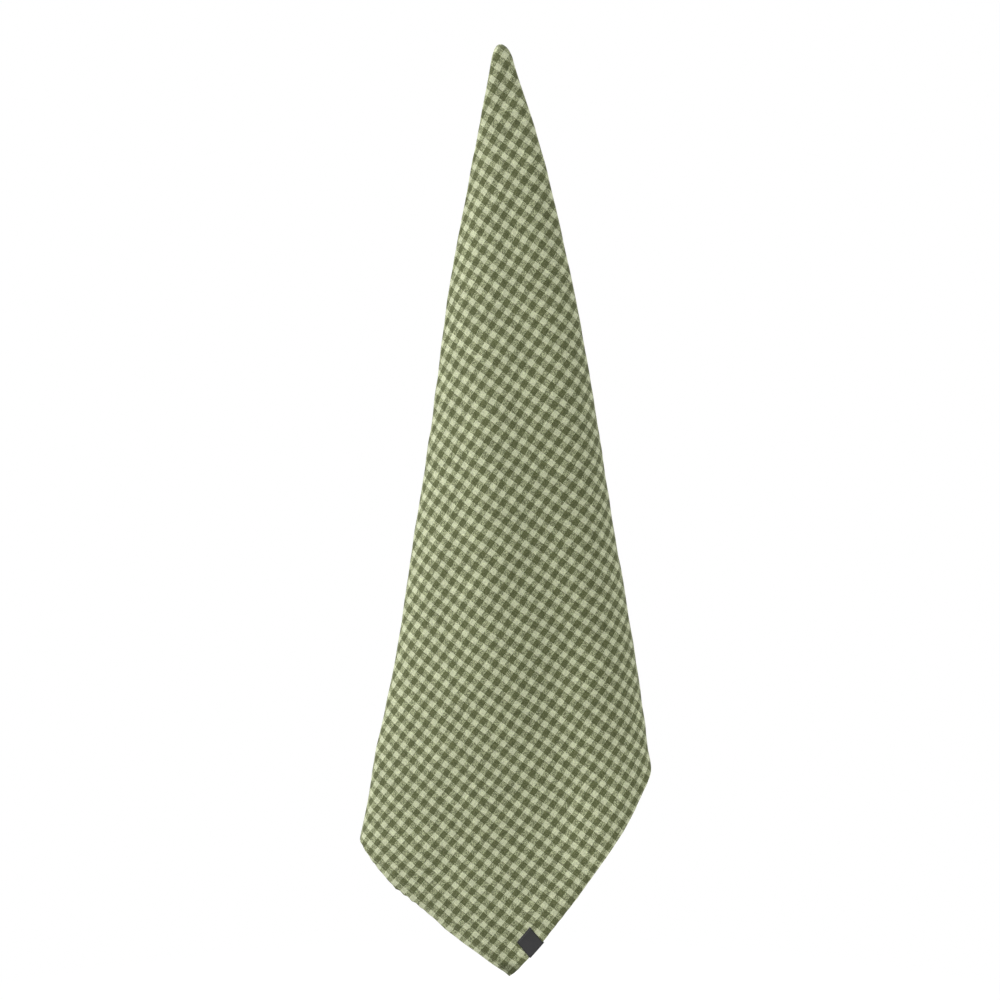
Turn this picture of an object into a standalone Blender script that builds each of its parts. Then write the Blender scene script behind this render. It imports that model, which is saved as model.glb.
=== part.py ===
"""Checked tea towel, hung by one corner so that its long diagonal is plumb.

The sheet is worked out as cloth. Every point of it has a distance along the short side and
a distance along the long side, both counted from the corner it hangs by. That point is
turned into a distance and an angle round the hanging corner. The folds are then laid along
lines that run down from the corner, so the cloth keeps its own size wherever it bends.

X is to the right, Y is to the back, Z is up. The origin is the top of the hanging corner.
"""

import bmesh
import bpy
import numpy as np

MM = 0.001

# The flat towel
SHORT_SIDE = 500.0
LONG_SIDE = 700.0
CLOTH_THICK = 2.0
CORNER_ROUND = 4.0
HANG_CORNER_ROUND = 4.0

# How the weave gives where it hangs on the bias
TAKE_UP = 0.984
SAG = 36.0
SAG_RUN = 320.0
NARROW = 0.067
NARROW_RUN = 445.0
SWAY = 17.5
SWAY_RUN = 198.0
SWAY_BACK = 7.25
SWAY_BACK_FROM = 532.0
SWAY_BACK_RUN = 340.0

# The hanging corner nods backward over the support
NOD_FROM = 19.5
NOD_RADIUS = 8.5

# The bottom corner swings a little out of the plumb plane
SWING_FROM = 560.0
SWING = 2.05
SWING_LEFT = 2.3
SWING_RIGHT = -6.3
LEAN_BACK = 0.0075

# Radius of a bend: its least value, and its growth per mm down from the corner
ROLL_LEAST = 2.5
ROLL_GROWTH = 0.021
BEND_LEAST = 2.2
BEND_GROWTH = 0.013
ROLL_BEFORE = 0.40

# The front panel. For each side: the angle from the diagonal to the side roll, far down,
# what it gains near the corner and over what run, then how the panel turns back (degrees)
SIDES = {
    # side: low, gain, run, arch, power, facet, crease, wrap_top, wrap
    "left": (0.2072, 0.1631, 240.0, 34.0, 3.0, 10.0, 0.33, 172.0, 174.0),
    "right": (0.2035, 0.1536, 231.0, 40.0, 2.6, 8.0, 0.46, 158.0, 173.0),
}
# The pinched corner is a little wider, and the panel opens out flatter toward the hem
PINCH = 0.10
PINCH_RUN = 28.0
OPEN_FROM = 600.0
OPEN_RUN = 240.0
OPENING = {
    # side: arch lost (degrees), angle of the roll gained, growth of the roll there
    "left": (17.4, -0.0075, 0.0205),
    "right": (24.0, -0.0252, 0.0125),
}
SIGN = {"left": -1.0, "right": 1.0}

# The folds behind. A fold's place is a share of the cloth between the side roll and the edge
FOLDS = (
    # name, side, place, turn (degrees), starts (mm down), is full (mm down), softness
    ("left inner", "left", 0.50, -164.0, 20.0, 90.0, 1.0),
    ("left hem flare", "left", 0.84, 24.0, 180.0, 460.0, 7.0),
    ("right inner", "right", 0.265, -166.0, 12.0, 70.0, 1.0),
    ("right outer", "right", 0.53, 166.0, 12.0, 70.0, 1.0),
    ("right hem flare", "right", 0.87, -22.0, 200.0, 420.0, 7.0),
)

# Columns of the sheet, from the diagonal outward: how many to each stretch of a side
STRETCHES = {
    # side: (end of the stretch, columns)
    "left": ((0.72, 8), (1.0, 9), (1.38, 3), (1.62, 9), (2.0, 4)),
    "right": ((0.72, 8), (1.0, 9), (1.20, 4), (1.33, 7), (1.46, 3), (1.60, 7), (2.0, 8)),
}
ROWS = 34
ROW_CROWDING = 1.7
STEPS = 160

# The label, folded over the hem near the bottom corner
LABEL_FROM_TIP = 31.5
LABEL_WIDTH = 18.6
LABEL_DEPTH = 17.4
LABEL_SKEW = 3.2
LABEL_THICK = 0.8
LABEL_CLEAR = 0.8

DIAGONAL = float(np.hypot(SHORT_SIDE, LONG_SIDE))
ALONG_SHORT = SHORT_SIDE / DIAGONAL
ALONG_LONG = LONG_SIDE / DIAGONAL


def smooth(x):
    x = np.clip(x, 0.0, 1.0)
    return x * x * (3.0 - 2.0 * x)


def cloth_down(hung):
    """Distance down the cloth for a distance down as it hangs."""
    return hung - SAG * (1.0 - np.exp(-hung / SAG_RUN))


def narrowing(down):
    """Width kept by the cloth at a distance down it."""
    return 1.0 - NARROW * np.exp(-((down / NARROW_RUN) ** 2))


def edge_angle(side, r):
    """Angle from the diagonal to the free edge of a side, as hung."""
    slope = SHORT_SIDE / LONG_SIDE if side == "left" else LONG_SIDE / SHORT_SIDE
    angle = np.full_like(r, np.arctan(slope))
    for _ in range(8):
        hung = r * np.cos(angle)
        down = cloth_down(hung)
        angle = np.arctan2(slope * down * narrowing(down), hung)
    return angle


def opened(r):
    """How far the panel has opened out toward the hem, from 0 to 1."""
    return smooth((r - OPEN_FROM) / OPEN_RUN)


def marks(side, r):
    """Angles where the side roll starts and ends, and of the free edge."""
    low, gain, run, arch, _, _, _, _, wrap = SIDES[side]
    _, widen, low_growth = OPENING[side]
    turned = low + gain * np.exp(-r / run) + PINCH * np.exp(-((r / PINCH_RUN) ** 2))
    turned = turned + widen * opened(r)
    growth = ROLL_GROWTH + (low_growth - ROLL_GROWTH) * opened(r)
    roll = np.radians(wrap - arch) * (ROLL_LEAST + growth * r) / np.maximum(r, 1.0)
    edge = edge_angle(side, r)
    start = np.maximum(turned - ROLL_BEFORE * roll, 0.4 * turned)
    end = np.minimum(turned + (1.0 - ROLL_BEFORE) * roll, 0.96 * edge)
    return np.minimum(start, 0.8 * end), end, edge


def angle_at(share, end, edge):
    """Angle for a share: 0 is the diagonal, 1 the end of the roll, 2 the free edge."""
    return np.where(share <= 1.0, share * end, end + (share - 1.0) * (edge - end))


def heading(side, angle, r, start, end, edge):
    """Way the cloth runs at a point, in radians: 0 is outward, a right angle is to the back."""
    _, _, _, arch, power, facet, crease, wrap_top, wrap = SIDES[side]
    arch = arch - OPENING[side][0] * opened(r)
    gather = smooth((r + 6.0) / 45.0)
    low = smooth((r - 150.0) / 300.0)
    t = np.minimum(angle / start, 1.0)
    front = arch * t**power + facet * low * smooth((t - crease + 0.14) / 0.28)
    way = front * (0.3 + 0.7 * gather)
    full = wrap_top + (wrap - wrap_top) * smooth((r - 90.0) / 120.0)
    way = way + (full - arch - facet * low) * gather * smooth((angle - start) / (end - start))
    span = np.maximum(r * (edge - end), 1e-6)
    along = r * (angle - end) / span
    for _, fold_side, place, turn, begins, is_full, softness in FOLDS:
        if fold_side != side:
            continue
        radius = softness * (BEND_LEAST + BEND_GROWTH * r)
        half = np.radians(abs(turn)) * radius / 2.0 / span
        grown = smooth((r - begins) / (is_full - begins))
        way = way + turn * grown * smooth((along - place) / (2.0 * half) + 0.5)
    return np.radians(way)


def hang(side, share, r):
    """Points of the hung cloth, and where they are on the flat cloth."""
    sign = SIGN[side]
    start, end, edge = marks(side, r)
    x = np.zeros_like(r)
    y = np.zeros_like(r)
    before = np.zeros_like(r)
    for step in range(STEPS):
        middle = angle_at(share * (step + 0.5) / STEPS, end, edge)
        after = angle_at(share * (step + 1.0) / STEPS, end, edge)
        way = heading(side, middle, r, start, end, edge)
        run_x = np.cos(way)
        run_y = np.sin(way)
        lean = (x * run_x + y * run_y) ** 2 / (1.0 - x * x - y * y)
        length = (after - before) / np.sqrt(1.0 + lean)
        x = x + length * run_x
        y = y + length * run_y
        before = after
    hung = r * np.cos(before)
    down = cloth_down(hung)
    across = sign * r * np.sin(before) / narrowing(down)
    short = across * ALONG_LONG + down * ALONG_SHORT
    long = down * ALONG_LONG - across * ALONG_SHORT

    left = np.clip(-across / 100.0, 0.0, 1.6)
    right = np.clip(across / 100.0, 0.0, 1.6)
    swing = SWING + SWING_LEFT * left + SWING_RIGHT * right
    below = np.maximum(0.0, down - SWING_FROM)
    back = r * y + swing * (below / 100.0) ** 2 + LEAN_BACK * r
    height = swing**2 * below**3 / 1.5e8 - r * np.sqrt(1.0 - x * x - y * y)
    nod = np.maximum(0.0, NOD_FROM - hung) / NOD_RADIUS
    arm = NOD_RADIUS - back
    height = np.where(nod > 0.0, height + hung - NOD_FROM + arm * np.sin(nod), height)
    back = np.where(nod > 0.0, back + arm * (1.0 - np.cos(nod)), back)

    sway = SWAY * (1.0 - np.exp(-r / SWAY_RUN))
    back_sway = np.maximum(0.0, r - SWAY_BACK_FROM) / SWAY_BACK_RUN
    sway = sway - SWAY_BACK * back_sway**3
    points = np.stack([sign * r * x + sway, back, height + NOD_FROM - NOD_RADIUS], axis=-1)
    points[..., 2] -= CLOTH_THICK / 2.0
    return points * TAKE_UP, short, long


def hem_distance(side, share):
    """Distance from the hanging corner to the far hem along a column."""
    r = np.full_like(share, 600.0)
    for _ in range(30):
        _, end, edge = marks(side, r)
        angle = angle_at(share, end, edge) * SIGN[side]
        down = cloth_down(r * np.cos(angle))
        across = r * np.sin(angle) / narrowing(down)
        past_short = across * ALONG_LONG + down * ALONG_SHORT - SHORT_SIDE
        past_long = down * ALONG_LONG - across * ALONG_SHORT - LONG_SIDE
        near = np.maximum(0.0, CORNER_ROUND - np.abs(past_short - past_long))
        past = np.maximum(past_short, past_long) + near**2 / (4.0 * CORNER_ROUND)
        r = r - 0.9 * past
    return r


def corner_distance(side, share):
    """Distance from the hanging corner's sharp point to its rounded end."""
    r = np.full_like(share, 8.0)
    left = edge_angle("left", r)
    right = edge_angle("right", r)
    half = (left + right) / 2.0
    far = HANG_CORNER_ROUND / np.sin(half)
    for _ in range(3):
        _, end, edge = marks(side, r)
        off = angle_at(share, end, edge) * SIGN[side] - (right - left) / 2.0
        off = np.clip(off, -half, half)
        inside = np.maximum(HANG_CORNER_ROUND**2 - (far * np.sin(off)) ** 2, 0.0)
        r = far * np.cos(off) - np.sqrt(inside)
    return r


def shares(side):
    """Columns of a side as shares, from the diagonal outward."""
    out = [0.0]
    for end, count in STRETCHES[side]:
        out.extend(np.linspace(out[-1], end, count + 1)[1:])
    return np.array(out)


def sheet_points():
    """Rows of points over the whole sheet, and their places on the flat cloth."""
    even = np.linspace(0.0, 1.0, ROWS + 1)[:, None]
    rows = even**2 * (ROW_CROWDING - (ROW_CROWDING - 1.0) * even)
    halves = []
    for side in ("left", "right"):
        columns = shares(side)
        near = corner_distance(side, columns)
        far = hem_distance(side, columns)
        r = near + rows * (far - near)
        share = np.broadcast_to(columns, r.shape)
        halves.append(hang(side, share.copy(), r))
    left, right = halves
    points = np.concatenate([left[0][:, :0:-1], right[0]], axis=1)
    return points


def place(short, long):
    """Points of the hung cloth for places on the flat cloth."""
    down = short * ALONG_SHORT + long * ALONG_LONG
    across = short * ALONG_LONG - long * ALONG_SHORT
    hung = down.copy()
    for _ in range(20):
        hung = down + SAG * (1.0 - np.exp(-hung / SAG_RUN))
    wide = np.abs(across) * narrowing(down)
    r = np.hypot(wide, hung)
    angle = np.arctan2(wide, hung)
    points = np.zeros(r.shape + (3,))
    for side in ("left", "right"):
        _, end, edge = marks(side, r)
        share = np.where(angle <= end, angle / end, 1.0 + (angle - end) / (edge - end))
        mine = across * SIGN[side] >= 0.0
        points[mine] = hang(side, share, r)[0][mine]
    return points


def fresh_scene():
    for thing in list(bpy.data.objects):
        bpy.data.objects.remove(thing, do_unlink=True)
    group = bpy.data.collections.new("tea_towel")
    bpy.context.scene.collection.children.link(group)
    return group


def plain_material(name, colour, roughness):
    material = bpy.data.materials.new(name)
    material.use_nodes = True
    shader = material.node_tree.nodes["Principled BSDF"]
    shader.inputs["Base Color"].default_value = (*colour, 1.0)
    shader.inputs["Roughness"].default_value = roughness
    return material


def grid_object(name, points, thickness, material, group):
    """A sheet through rows of points, given its thickness evenly to both sides."""
    rows, columns = points.shape[:2]
    mesh = bpy.data.meshes.new(name)
    bm = bmesh.new()
    bmesh.ops.create_grid(bm, x_segments=columns - 1, y_segments=rows - 1, size=1.0)
    for vertex in bm.verts:
        column = round((vertex.co.x + 1.0) / 2.0 * (columns - 1))
        row = round((1.0 - vertex.co.y) / 2.0 * (rows - 1))
        vertex.co = points[row, column] * MM
    bm.to_mesh(mesh)
    bm.free()
    thing = bpy.data.objects.new(name, mesh)
    mesh.materials.append(material)
    group.objects.link(thing)
    shell = thing.modifiers.new("thickness", "SOLIDIFY")
    shell.thickness = thickness * MM
    shell.offset = 0.0
    shell.use_even_offset = True
    shell.use_rim = True
    return thing


def label_points():
    """The label runs up the front of the hem, round its edge and up the back of it."""
    reach = CLOTH_THICK / 2.0 + LABEL_CLEAR + LABEL_THICK / 2.0
    legs = np.linspace(LABEL_DEPTH, 0.0, 5)
    turns = np.radians(np.linspace(90.0, -90.0, 9))
    profile = [(-leg, reach) for leg in legs[:-1]]
    profile += [(reach * np.cos(turn), reach * np.sin(turn)) for turn in turns]
    profile += [(-leg, -reach) for leg in legs[-2::-1]]
    stations = LONG_SIDE - LABEL_FROM_TIP - np.linspace(0.0, LABEL_WIDTH, 5)

    rows = []
    for offset, lift in profile:
        short = np.full_like(stations, SHORT_SIDE + min(offset, 0.0))
        long = stations + LABEL_SKEW * min(offset, 0.0) / LABEL_DEPTH
        here = place(short, long)
        inward = here - place(short - 1.0, long)
        onward = place(short, long + 0.5) - place(short, long - 0.5)
        out = inward / np.linalg.norm(inward, axis=1)[:, None]
        normal = np.cross(onward, inward)
        normal = normal / np.linalg.norm(normal, axis=1)[:, None]
        normal = normal * -np.sign(normal[:, 1:2])
        rows.append(here + out * max(offset, 0.0) + normal * lift)
    return np.array(rows)


towel = fresh_scene()
cloth_material = plain_material("checked_cotton", (0.250, 0.270, 0.158), 0.9)
label_material = plain_material("label_weave", (0.045, 0.045, 0.044), 0.8)
grid_object("towel", sheet_points(), CLOTH_THICK, cloth_material, towel)
grid_object("label", label_points(), LABEL_THICK, label_material, towel)
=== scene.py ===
# %% [markdown]
# A checked tea towel, hung by one corner so that its long diagonal is plumb.
#
# The solid model is already here, as a fixed frame. This script dresses it. A thin sheet of
# cloth follows the folds of the solid, a small dark label is folded over the hem, and the
# weave is worked out thread by thread from the place each point had on the flat towel.

import bmesh
import bpy
import numpy as np
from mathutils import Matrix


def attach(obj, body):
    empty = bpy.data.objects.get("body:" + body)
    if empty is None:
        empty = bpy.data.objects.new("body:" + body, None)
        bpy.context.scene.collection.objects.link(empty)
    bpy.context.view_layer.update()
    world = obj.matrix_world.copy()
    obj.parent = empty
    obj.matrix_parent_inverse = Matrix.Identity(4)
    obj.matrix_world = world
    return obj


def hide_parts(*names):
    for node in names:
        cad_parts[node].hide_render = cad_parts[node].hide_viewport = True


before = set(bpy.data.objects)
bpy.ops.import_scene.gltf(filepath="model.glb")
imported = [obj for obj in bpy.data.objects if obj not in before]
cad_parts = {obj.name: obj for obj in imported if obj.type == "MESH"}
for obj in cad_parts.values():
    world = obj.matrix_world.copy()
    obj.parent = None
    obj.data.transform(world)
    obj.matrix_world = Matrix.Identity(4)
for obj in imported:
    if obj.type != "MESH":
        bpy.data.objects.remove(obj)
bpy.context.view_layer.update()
MM = 0.001

# %% [markdown]
# ## The camera
# The towel is seen square on, from far enough away that its two sides look nearly parallel.
# A level camera half way down the towel keeps the plumb line upright.

# %% Camera
SENSOR_WIDTH = 36.0
LENS_LENGTH = 57.76
CAMERA_PLACE = (0.0001, -1.476, -0.4215)
lens = bpy.data.cameras.new("camera")
lens.sensor_width = SENSOR_WIDTH
lens.lens = LENS_LENGTH
camera = bpy.data.objects.new("camera", lens)
camera.location = CAMERA_PLACE
camera.rotation_euler = (np.radians(90.0), 0.0, 0.0)
bpy.context.scene.collection.objects.link(camera)
bpy.context.scene.camera = camera
print("camera at", CAMERA_PLACE)

# %% [markdown]
# ## How the cloth hangs
# Cloth bends easily and hardly stretches. A sheet held at one corner therefore falls into
# folds that all run down from that corner. Each point of the flat towel has a distance and
# an angle round the corner, and the folds are laid along those lines, so a width of cloth
# goes once round each fold and keeps its own size. On the bias the weave also gives: it
# sags a little lengthwise and draws in sideways.

# %% The flat towel, in mm
SHORT_SIDE = 500.0
LONG_SIDE = 700.0
CORNER_ROUND = 4.0
HANG_CORNER_ROUND = 4.0
SOLID_THICK = 2.0
SHORT_CHECK = 11.086  # one repeat of the checks along the short side
LONG_CHECK = 12.438  # one repeat along the long side
DIAGONAL = float(np.hypot(SHORT_SIDE, LONG_SIDE))
ALONG_SHORT = SHORT_SIDE / DIAGONAL
ALONG_LONG = LONG_SIDE / DIAGONAL
print("diagonal of the flat towel:", round(DIAGONAL), "mm")

# %% How it gives and folds, in mm and degrees
TAKE_UP = 0.984  # hung size over woven size
SAG, SAG_RUN = 36.0, 320.0  # how far the bias sags, and over what length
NARROW, NARROW_RUN = 0.067, 445.0  # the share it draws in at the top
SWAY, SWAY_RUN = 17.5, 198.0  # how far the plumb line bows to the right
SWAY_BACK, SWAY_BACK_FROM, SWAY_BACK_RUN = 7.25, 532.0, 340.0  # and comes back, low down
NOD_FROM, NOD_RADIUS, NOD_ROUND, NOD_REACH = 19.5, 8.5, 0.050, 120.0  # corner tips back
SWING_FROM = 560.0  # below this the lower edge swings back
SWING, SWING_LEFT, SWING_RIGHT = 2.05, 2.3, -6.3
SWING_WIDE, SWING_MOST = 200.0, 1.6
LEAN_BACK = 0.0075
DIAGONAL_SOFT = 14.0
ROLL_LEAST, ROLL_GROWTH, ROLL_BEFORE = 2.5, 0.021, 0.40  # radius of the side rolls
BEND_LEAST, BEND_GROWTH = 2.2, 0.013  # radius of the folds behind
GATHER = (-6.0, 45.0)  # the gathers at the corner open from here, over this length
GATHERED_ARCH = 0.3  # share of the front's arch that is left in the gathers
FACET, FACET_WIDE = (150.0, 300.0), 0.28
WRAP = (90.0, 120.0)
SIDES = {
    # side: low, gain, run, arch, power, facet, crease, wrap_top, wrap
    "left": (0.2072, 0.1631, 240.0, 34.0, 3.0, 10.0, 0.33, 172.0, 174.0),
    "right": (0.2035, 0.1536, 231.0, 40.0, 2.6, 8.0, 0.46, 158.0, 173.0),
}
LETTING_OUT = {
    # side: (distance from the hanging corner, spread, how far the roll lies out)
    "left": ((250.0, 70.0, 2.0), (575.0, 45.0, -1.8), (700.0, 32.0, 1.8)),
    "right": ((170.0, 110.0, -1.0), (475.0, 60.0, -1.6)),
}
PINCH, PINCH_RUN = 0.10, 28.0
OPEN_FROM, OPEN_RUN = 600.0, 240.0
OPENING = {
    # side: arch lost (degrees), angle of the roll gained, growth of the roll there
    "left": (17.4, -0.0075, 0.0205),
    "right": (24.0, -0.0252, 0.0125),
}
SIGN = {"left": -1.0, "right": 1.0}
FOLDS = (
    # name, side, place, turn (degrees), starts (mm down), is full (mm down), softness
    ("left inner", "left", 0.50, -164.0, 20.0, 90.0, 1.0),
    ("left hem flare", "left", 0.84, 24.0, 180.0, 460.0, 7.0),
    ("right inner", "right", 0.265, -166.0, 12.0, 70.0, 1.0),
    ("right outer", "right", 0.53, 166.0, 12.0, 70.0, 1.0),
    ("right hem flare", "right", 0.87, -22.0, 200.0, 420.0, 7.0),
)
print("folds behind:", [fold[0] for fold in FOLDS])


# %% The give of the weave
def smooth(x):
    x = np.clip(x, 0.0, 1.0)
    return x * x * (3.0 - 2.0 * x)


def grow(value, begin, run):
    """0 up to where it begins, then smoothly up to 1 over a run."""
    return smooth((value - begin) / run)


def cloth_down(hung):
    """How far down the unstretched cloth a hung distance reaches."""
    return hung - SAG * (1.0 - np.exp(-hung / SAG_RUN))


def narrowing(down):
    return 1.0 - NARROW * np.exp(-((down / NARROW_RUN) ** 2))


print("the cloth sags", round(600.0 - float(cloth_down(600.0))), "mm in the first 600")


# %% Where the folds lie round the corner
def edge_angle(side, r):
    slope = SHORT_SIDE / LONG_SIDE if side == "left" else LONG_SIDE / SHORT_SIDE
    angle = np.full_like(r, np.arctan(slope))
    for _ in range(8):
        hung = r * np.cos(angle)
        down = cloth_down(hung)
        angle = np.arctan2(slope * down * narrowing(down), hung)
    return angle


def opened(r):
    return grow(r, OPEN_FROM, OPEN_RUN)


def marks(side, r):
    """Angles where the side roll starts and ends, and of the free edge."""
    low, gain, run, arch, _, _, _, _, wrap = SIDES[side]
    _, widen, low_growth = OPENING[side]
    turned = low + gain * np.exp(-r / run) + PINCH * np.exp(-((r / PINCH_RUN) ** 2))
    turned = turned + widen * opened(r)
    for at, spread, move in LETTING_OUT[side]:
        turned = turned + move / at * np.exp(-(((r - at) / spread) ** 2))
    growth = ROLL_GROWTH + (low_growth - ROLL_GROWTH) * opened(r)
    roll = np.radians(wrap - arch) * (ROLL_LEAST + growth * r) / np.maximum(r, 1.0)
    edge = edge_angle(side, r)
    start = np.maximum(turned - ROLL_BEFORE * roll, 0.4 * turned)
    end = np.minimum(turned + (1.0 - ROLL_BEFORE) * roll, 0.96 * edge)
    return np.minimum(start, 0.8 * end), end, edge


def angle_at(share, end, edge):
    """Angle for a share: 0 is the diagonal, 1 the end of the roll, 2 the free edge."""
    return np.where(share <= 1.0, share * end, end + (share - 1.0) * (edge - end))


def heading(side, angle, r, start, end, edge):
    """Way the cloth runs at a point: 0 is outward, a right angle is to the back."""
    _, _, _, arch, power, facet, crease, wrap_top, wrap = SIDES[side]
    arch = arch - OPENING[side][0] * opened(r)
    gather = grow(r, *GATHER)
    facet = facet * grow(r, *FACET)
    t = np.minimum(angle / start, 1.0)
    front = arch * t**power + facet * grow(t, crease - FACET_WIDE / 2.0, FACET_WIDE)
    way = front * (GATHERED_ARCH + (1.0 - GATHERED_ARCH) * gather)
    full = wrap_top + (wrap - wrap_top) * grow(r, *WRAP)
    way = way + (full - arch - facet) * gather * grow(angle, start, end - start)
    span = np.maximum(r * (edge - end), 1e-6)
    along = r * (angle - end) / span
    for _, fold_side, place, turn, begins, is_full, softness in FOLDS:
        if fold_side != side:
            continue
        radius = softness * (BEND_LEAST + BEND_GROWTH * r)
        half = np.radians(abs(turn)) * radius / 2.0 / span
        grown = grow(r, begins, is_full - begins)
        way = way + turn * grown * smooth((along - place) / (2.0 * half) + 0.5)
    return np.radians(way)


angles = [float(np.degrees(edge_angle(side, np.array([400.0]))[0])) for side in SIDES]
print("free edges at", [round(a, 1) for a in angles], "degrees from plumb")


# %% From a place round the corner to a point in the room
def hang(side, share, r, steps=160):
    """Points of the hung cloth, and where they are on the flat cloth."""
    sign = SIGN[side]
    start, end, edge = marks(side, r)
    x = np.zeros_like(r)
    y = np.zeros_like(r)
    before = np.zeros_like(r)
    for step in range(steps):
        middle = angle_at(share * (step + 0.5) / steps, end, edge)
        after = angle_at(share * (step + 1.0) / steps, end, edge)
        way = heading(side, middle, r, start, end, edge)
        run_x = np.cos(way)
        run_y = np.sin(way)
        lean = (x * run_x + y * run_y) ** 2 / (1.0 - x * x - y * y)
        length = (after - before) / np.sqrt(1.0 + lean)
        x = x + length * run_x
        y = y + length * run_y
        before = after
    hung = r * np.cos(before)
    down = cloth_down(hung)
    across = sign * r * np.sin(before) / narrowing(down)
    short = across * ALONG_LONG + down * ALONG_SHORT
    long = down * ALONG_LONG - across * ALONG_SHORT

    # Low down the cloth swings back, and its height changes so that it keeps its length.
    softly = np.hypot(across, DIAGONAL_SOFT)
    left = np.clip((softly - across) / SWING_WIDE, 0.0, SWING_MOST)
    right = np.clip((softly + across) / SWING_WIDE, 0.0, SWING_MOST)
    swing = SWING + SWING_LEFT * left + SWING_RIGHT * right
    below = np.maximum(0.0, down - SWING_FROM)
    back = r * y + swing * (below / 100.0) ** 2 + LEAN_BACK * r
    height = swing**2 * below**3 / 1.5e8 - r * np.sqrt(1.0 - x * x - y * y)

    # The hanging corner itself tips over to the back.
    nod_from = NOD_FROM + NOD_ROUND * np.minimum((r * x) ** 2, NOD_REACH)
    nod = np.maximum(0.0, nod_from - hung) / NOD_RADIUS
    arm = NOD_RADIUS - back
    height = np.where(nod > 0.0, height + hung - nod_from + arm * np.sin(nod), height)
    back = np.where(nod > 0.0, back + arm * (1.0 - np.cos(nod)), back)

    sway = SWAY * (1.0 - np.exp(-r / SWAY_RUN))
    back_sway = np.maximum(0.0, r - SWAY_BACK_FROM) / SWAY_BACK_RUN
    sway = sway - SWAY_BACK * back_sway**3
    points = np.stack([sign * r * x + sway, back, height + NOD_FROM - NOD_RADIUS], axis=-1)
    points[..., 2] -= SOLID_THICK / 2.0
    return points * TAKE_UP, short, long


half_way = hang("left", np.array([0.0]), np.array([400.0]))[0][0]
print("half way down the front, the cloth is at", [round(float(v)) for v in half_way], "mm")


# %% Where a column of the cloth begins and ends
def hem_distance(side, share):
    """Distance from the hanging corner to the far hem along a column."""
    r = np.full_like(share, 600.0)
    for _ in range(30):
        _, end, edge = marks(side, r)
        angle = angle_at(share, end, edge) * SIGN[side]
        down = cloth_down(r * np.cos(angle))
        across = r * np.sin(angle) / narrowing(down)
        past_short = across * ALONG_LONG + down * ALONG_SHORT - SHORT_SIDE
        past_long = down * ALONG_LONG - across * ALONG_SHORT - LONG_SIDE
        near = np.maximum(0.0, CORNER_ROUND - np.abs(past_short - past_long))
        past = np.maximum(past_short, past_long) + near**2 / (4.0 * CORNER_ROUND)
        r = r - 0.9 * past
    return r


def corner_distance(side, share):
    """Distance from the hanging corner's sharp point to its rounded end."""
    r = np.full_like(share, 8.0)
    left = edge_angle("left", r)
    right = edge_angle("right", r)
    half = (left + right) / 2.0
    far = HANG_CORNER_ROUND / np.sin(half)
    for _ in range(3):
        _, end, edge = marks(side, r)
        off = angle_at(share, end, edge) * SIGN[side] - (right - left) / 2.0
        off = np.clip(off, -half, half)
        inside = np.maximum(HANG_CORNER_ROUND**2 - (far * np.sin(off)) ** 2, 0.0)
        r = far * np.cos(off) - np.sqrt(inside)
    return r


print("the diagonal hangs", round(float(hem_distance("left", np.zeros(1))[0])), "mm long")


# %% From a place on the flat towel to a point in the room
def place(short, long):
    """Points of the hung cloth, and their shares, for places on the flat cloth."""
    down = short * ALONG_SHORT + long * ALONG_LONG
    across = short * ALONG_LONG - long * ALONG_SHORT
    hung = down.copy()
    for _ in range(20):
        hung = down + SAG * (1.0 - np.exp(-hung / SAG_RUN))
    wide = np.abs(across) * narrowing(down)
    r = np.hypot(wide, hung)
    angle = np.arctan2(wide, hung)
    points = np.zeros(r.shape + (3,))
    shares_out = np.zeros(r.shape)
    for side in ("left", "right"):
        _, end, edge = marks(side, r)
        share = np.where(angle <= end, angle / end, 1.0 + (angle - end) / (edge - end))
        mine = across * SIGN[side] >= 0.0
        points[mine] = hang(side, share, r)[0][mine]
        shares_out[mine] = share[mine]
    return points, shares_out


tip = place(np.array([SHORT_SIDE]), np.array([LONG_SIDE]))[0][0]
print("bottom corner hangs at", [round(float(v)) for v in tip], "mm")

# %% [markdown]
# ## Soft creases
# Over the plain drape lie the soft creases of a towel that was folded, washed and hung. Each
# is a long low rise or hollow with its own place, slant, length, width and height. The panels
# behind get slow waves instead, and the whole cloth is a little uneven, as washed cotton is.

# %% Creases, waves and unevenness
SOFT_CREASES = (
    # down, across, slant, length, width, height
    (134, -24, -0.28, 77, 8, 0.8),
    (171, -54, -0.31, 200, 20, -4.0),
    (359, -41, -0.02, 95, 12, 2.5),
    (367, 60, 0.13, 180, 14, 2.6),
    (403, 1, -0.25, 105, 18, 1.6),
    (447, 76, 0.27, 141, 30, 2.7),
    (466, -7, 0.05, 180, 15, 2.1),
    (475, 77, 0.40, 54, 18, -1.3),
    (494, -23, -0.00, 191, 14, 2.0),
    (501, -45, -0.20, 196, 13, 1.4),
    (507, 17, -0.19, 200, 15, 0.8),
    (544, 63, -0.40, 31, 19, -0.8),
    (632, -81, -0.24, 93, 20, -2.7),
    (666, -53, 0.00, 59, 30, -3.8),
    (675, 47, 0.05, 200, 18, -3.9),
    (706, -143, -0.40, 155, 20, -2.4),
    (721, 111, -0.40, 61, 10, -3.2),
    (731, -73, 0.40, 42, 30, -2.5),
    (740, 98, -0.31, 193, 30, -2.5),
    (798, 61, -0.40, 32, 11, -3.4),
    (806, 18, 0.40, 88, 20, -3.6),
    (840, -19, -0.25, 70, 30, 4.0),
    (868, 0, 0.00, 60, 150, -3.4),
)
CREASES_END = 0.25  # the creases fade over this share, up to the end of the roll
CREASES_DOWN = (20.0, 90.0)
WAVES_BEHIND = (
    # height, run across, run down (negative slants the other way), phase
    (1.3, 11.5, 95.0, 0.0),
    (0.9, 19.0, -70.0, 1.7),
)
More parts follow.
